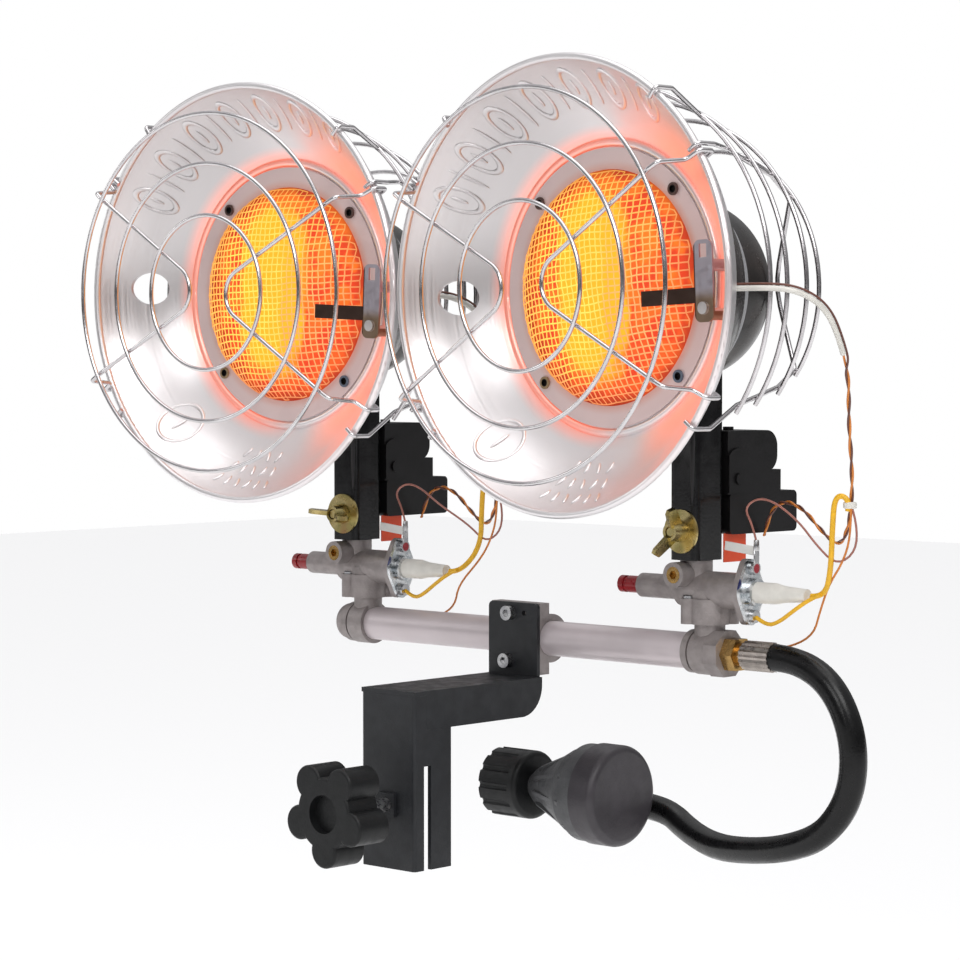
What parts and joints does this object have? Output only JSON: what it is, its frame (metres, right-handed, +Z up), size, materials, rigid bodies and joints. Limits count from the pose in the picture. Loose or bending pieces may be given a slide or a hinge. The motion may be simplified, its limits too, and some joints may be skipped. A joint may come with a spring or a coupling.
{
  "type": "double tank-top propane heater",
  "caption": "Portable radiant propane heater with twin round reflectors and wire guards on a gas manifold, a clamp bracket that hangs on a cylinder collar, and a hose with regulator.",
  "frame": {"origin": "closed upper end of the bracket's collar slot, midway between the bracket's two sides", "axes": "+Z up, both reflectors face -Y at rest, the manifold tube lies along X and the hose leaves at +X"},
  "size_m": [0.5016, 0.2365, 0.4406],
  "materials": {
    "satin_reflector": "satin spun aluminium",
    "dark_screw": "heat-darkened",
    "emitter": "glowing woven wire",
    "ceramic_tile": "matte, glowing",
    "black_enamel": "semi-gloss black",
    "guard_wire": "polished nickel plate",
    "steel": "satin",
    "yellow_zinc": "iridescent yellow zinc plate",
    "black_plastic": "matte",
    "white_lead": "glass-fibre sleeve over a wire",
    "valve_casting": "matte die casting",
    "red_button": "matte",
    "yellow_lead": "matte insulation",
    "bright_zinc": "bright zinc plate",
    "brass": "machined",
    "white_sleeve": "translucent",
    "tube_steel": "satin warm gray",
    "hose_rubber": "slight sheen",
    "dark_casting": "satin dark gray",
    "gray_paint": "satin gray",
    "black_powder": "black powder coat",
    "knob_plastic": "matte charcoal"
  },
  "bodies": {
    "frame": {"valve_covers": "bright_zinc", "valve_screws": "steel", "valve_plugs": "brass", "lead_sleeves": "white_sleeve", "gas_jets": "brass", "manifold_tube": "tube_steel", "tee_left": "valve_casting", "tee_right": "valve_casting", "hose_fitting": "brass", "hose_ferrule": "bright_zinc", "gas_hose": "hose_rubber", "regulator_body": "dark_casting", "regulator_cap": "gray_paint", "bracket_arm": "black_powder", "bracket_channel": "black_powder", "pipe_saddle": "valve_casting", "saddle_screws": "steel", "valve_body_left": "valve_casting", "valve_body_right": "valve_casting", "valve_lead_left": "yellow_lead", "valve_lead_right": "yellow_lead"},
    "head_left": {"reflector_left": "satin_reflector", "burner_ring_left": "satin_reflector", "ring_screws_left": "dark_screw", "emitter_screen_left": "emitter", "emitter_plate_left": "ceramic_tile", "burner_bowl_left": "black_enamel", "burner_cup_left": "black_enamel", "front_guard_left": "guard_wire", "rear_guard_left": "guard_wire", "sensor_bracket_left": "satin_reflector", "mast_left": "black_enamel", "mixing_tube_left": "steel", "wing_stud_left": "yellow_zinc", "tip_switch_left": "black_plastic", "sensor_lead_left": "white_lead"},
    "washer_left": {"wing_washer_left": "yellow_zinc"},
    "wing_nut_left": {"wing_nut_left": "yellow_zinc"},
    "button_left": {"push_button_left": "red_button"},
    "head_right": {"reflector_right": "satin_reflector", "burner_ring_right": "satin_reflector", "ring_screws_right": "dark_screw", "emitter_screen_right": "emitter", "emitter_plate_right": "ceramic_tile", "burner_bowl_right": "black_enamel", "burner_cup_right": "black_enamel", "front_guard_right": "guard_wire", "rear_guard_right": "guard_wire", "sensor_bracket_right": "satin_reflector", "mast_right": "black_enamel", "mixing_tube_right": "steel", "wing_stud_right": "yellow_zinc", "tip_switch_right": "black_plastic", "sensor_lead_right": "white_lead"},
    "washer_right": {"wing_washer_right": "yellow_zinc"},
    "wing_nut_right": {"wing_nut_right": "yellow_zinc"},
    "button_right": {"push_button_right": "red_button"},
    "clamp_stud": {"clamp_stud": "steel"},
    "clamp_knob": {"clamp_knob": "knob_plastic"},
    "coupling_nut": {"coupling_nut": "black_plastic"}
  },
  "joints": [
    {"name": "head_swivel_left", "type": "hinge", "parent": "frame", "child": "head_left", "pos_m": [-0.1399, 0.10475, 0.1135], "axis": [0, 0, 1], "range_deg": [-60, 0], "deforming": ["valve_lead_left"]},
    {"name": "washer_slide_left", "type": "slide", "parent": "head_left", "child": "washer_left", "axis": [0.0523, -0.9986, 0], "range_m": [0, 0.003]},
    {"name": "wing_nut_turn_left", "type": "hinge", "parent": "washer_left", "child": "wing_nut_left", "pos_m": [-0.1399, 0.10475, 0.1294], "axis": [0.0523, -0.9986, 0], "range_deg": [0, 1080]},
    {"name": "button_press_left", "type": "slide", "parent": "frame", "child": "button_left", "axis": [1, 0, 0], "range_m": [0, 0.006], "stiffness_N_per_m": 400},
    {"name": "head_swivel_right", "type": "hinge", "parent": "frame", "child": "head_right", "pos_m": [0.1249, 0.10475, 0.1135], "axis": [0, 0, 1], "range_deg": [0, 60], "deforming": ["valve_lead_right"]},
    {"name": "washer_slide_right", "type": "slide", "parent": "head_right", "child": "washer_right", "axis": [-0.0523, -0.9986, 0], "range_m": [0, 0.003]},
    {"name": "wing_nut_turn_right", "type": "hinge", "parent": "washer_right", "child": "wing_nut_right", "pos_m": [0.1249, 0.10475, 0.1294], "axis": [-0.0523, -0.9986, 0], "range_deg": [0, 1080]},
    {"name": "button_press_right", "type": "slide", "parent": "frame", "child": "button_right", "axis": [1, 0, 0], "range_m": [0, 0.006], "stiffness_N_per_m": 400},
    {"name": "clamp_slide", "type": "slide", "parent": "frame", "child": "clamp_stud", "axis": [0, 1, 0], "range_m": [0, 0.005]},
    {"name": "clamp_turn", "type": "hinge", "parent": "clamp_stud", "child": "clamp_knob", "pos_m": [0, -0.03825, -0.022], "axis": [0, 1, 0], "range_deg": [0, 1440]},
    {"name": "coupling_turn", "type": "hinge", "parent": "frame", "child": "coupling_nut", "pos_m": [-0.0155, 0.11475, -0.025], "axis": [1, 0, 0], "continuous": true}
  ],
  "couplings": [
    {"joint": "wing_nut_turn_left", "follows": "washer_slide_left", "rad_per_m": 6283.2},
    {"joint": "wing_nut_turn_right", "follows": "washer_slide_right", "rad_per_m": 6283.2},
    {"joint": "clamp_turn", "follows": "clamp_slide", "rad_per_m": 5026.5}
  ]
}
